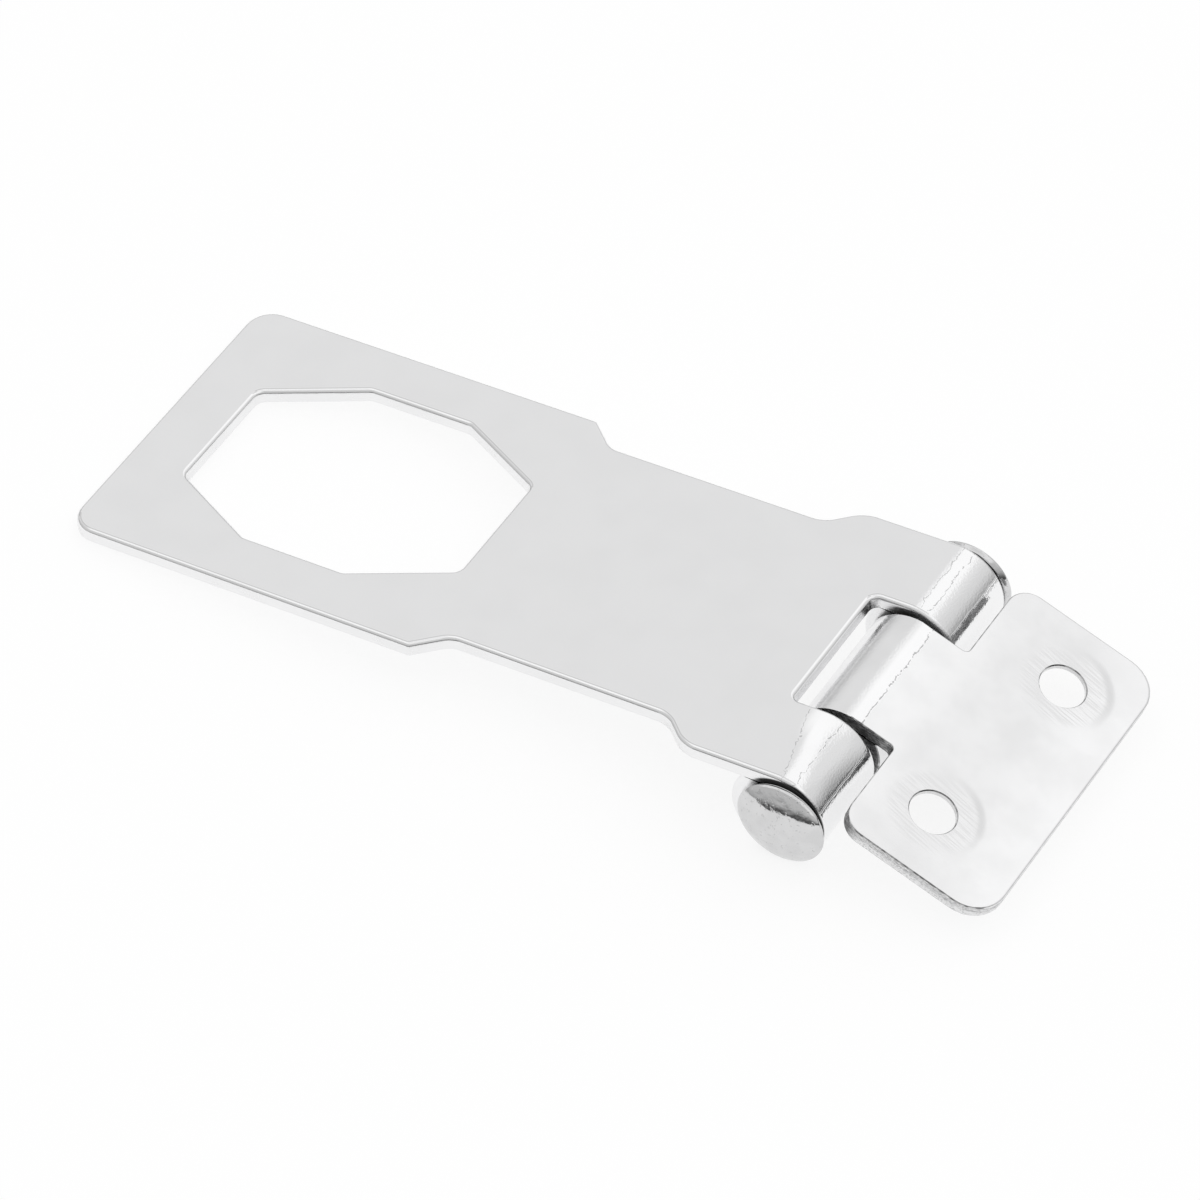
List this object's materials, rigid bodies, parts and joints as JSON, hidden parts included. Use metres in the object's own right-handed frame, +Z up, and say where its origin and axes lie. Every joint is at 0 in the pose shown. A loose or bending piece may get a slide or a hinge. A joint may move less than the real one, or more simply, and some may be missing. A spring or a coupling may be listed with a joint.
{
  "type": "locking hasp",
  "caption": "Hinged steel hasp: waisted strap with an octagonal lock opening, rolled knuckles on a riveted pin, and a short screw leaf with countersunk holes.",
  "frame": {"origin": "on the floor under the middle of the half-open hasp's bounding box", "axes": "+X from the strap's free end toward the screw leaf, +Y along the hinge pin, +Z up from the floor it lies on"},
  "size_m": [0.115, 0.0436, 0.0114],
  "materials": {
    "plated_sheet": "bright plated pressed steel sheet",
    "plated_rivet": "bright plated steel rivet, lightly pitted heads"
  },
  "bodies": {
    "leaf": {"fixed_leaf": "plated_sheet"},
    "strap": {"hasp_strap": "plated_sheet", "hinge_pin": "plated_rivet"}
  },
  "joints": [
    {"name": "strap_hinge", "type": "hinge", "parent": "leaf", "child": "strap", "pos_m": [0.03235, 0, 0.0057], "axis": [0, 1, 0], "range_deg": [-155.85, 69]}
  ]
}
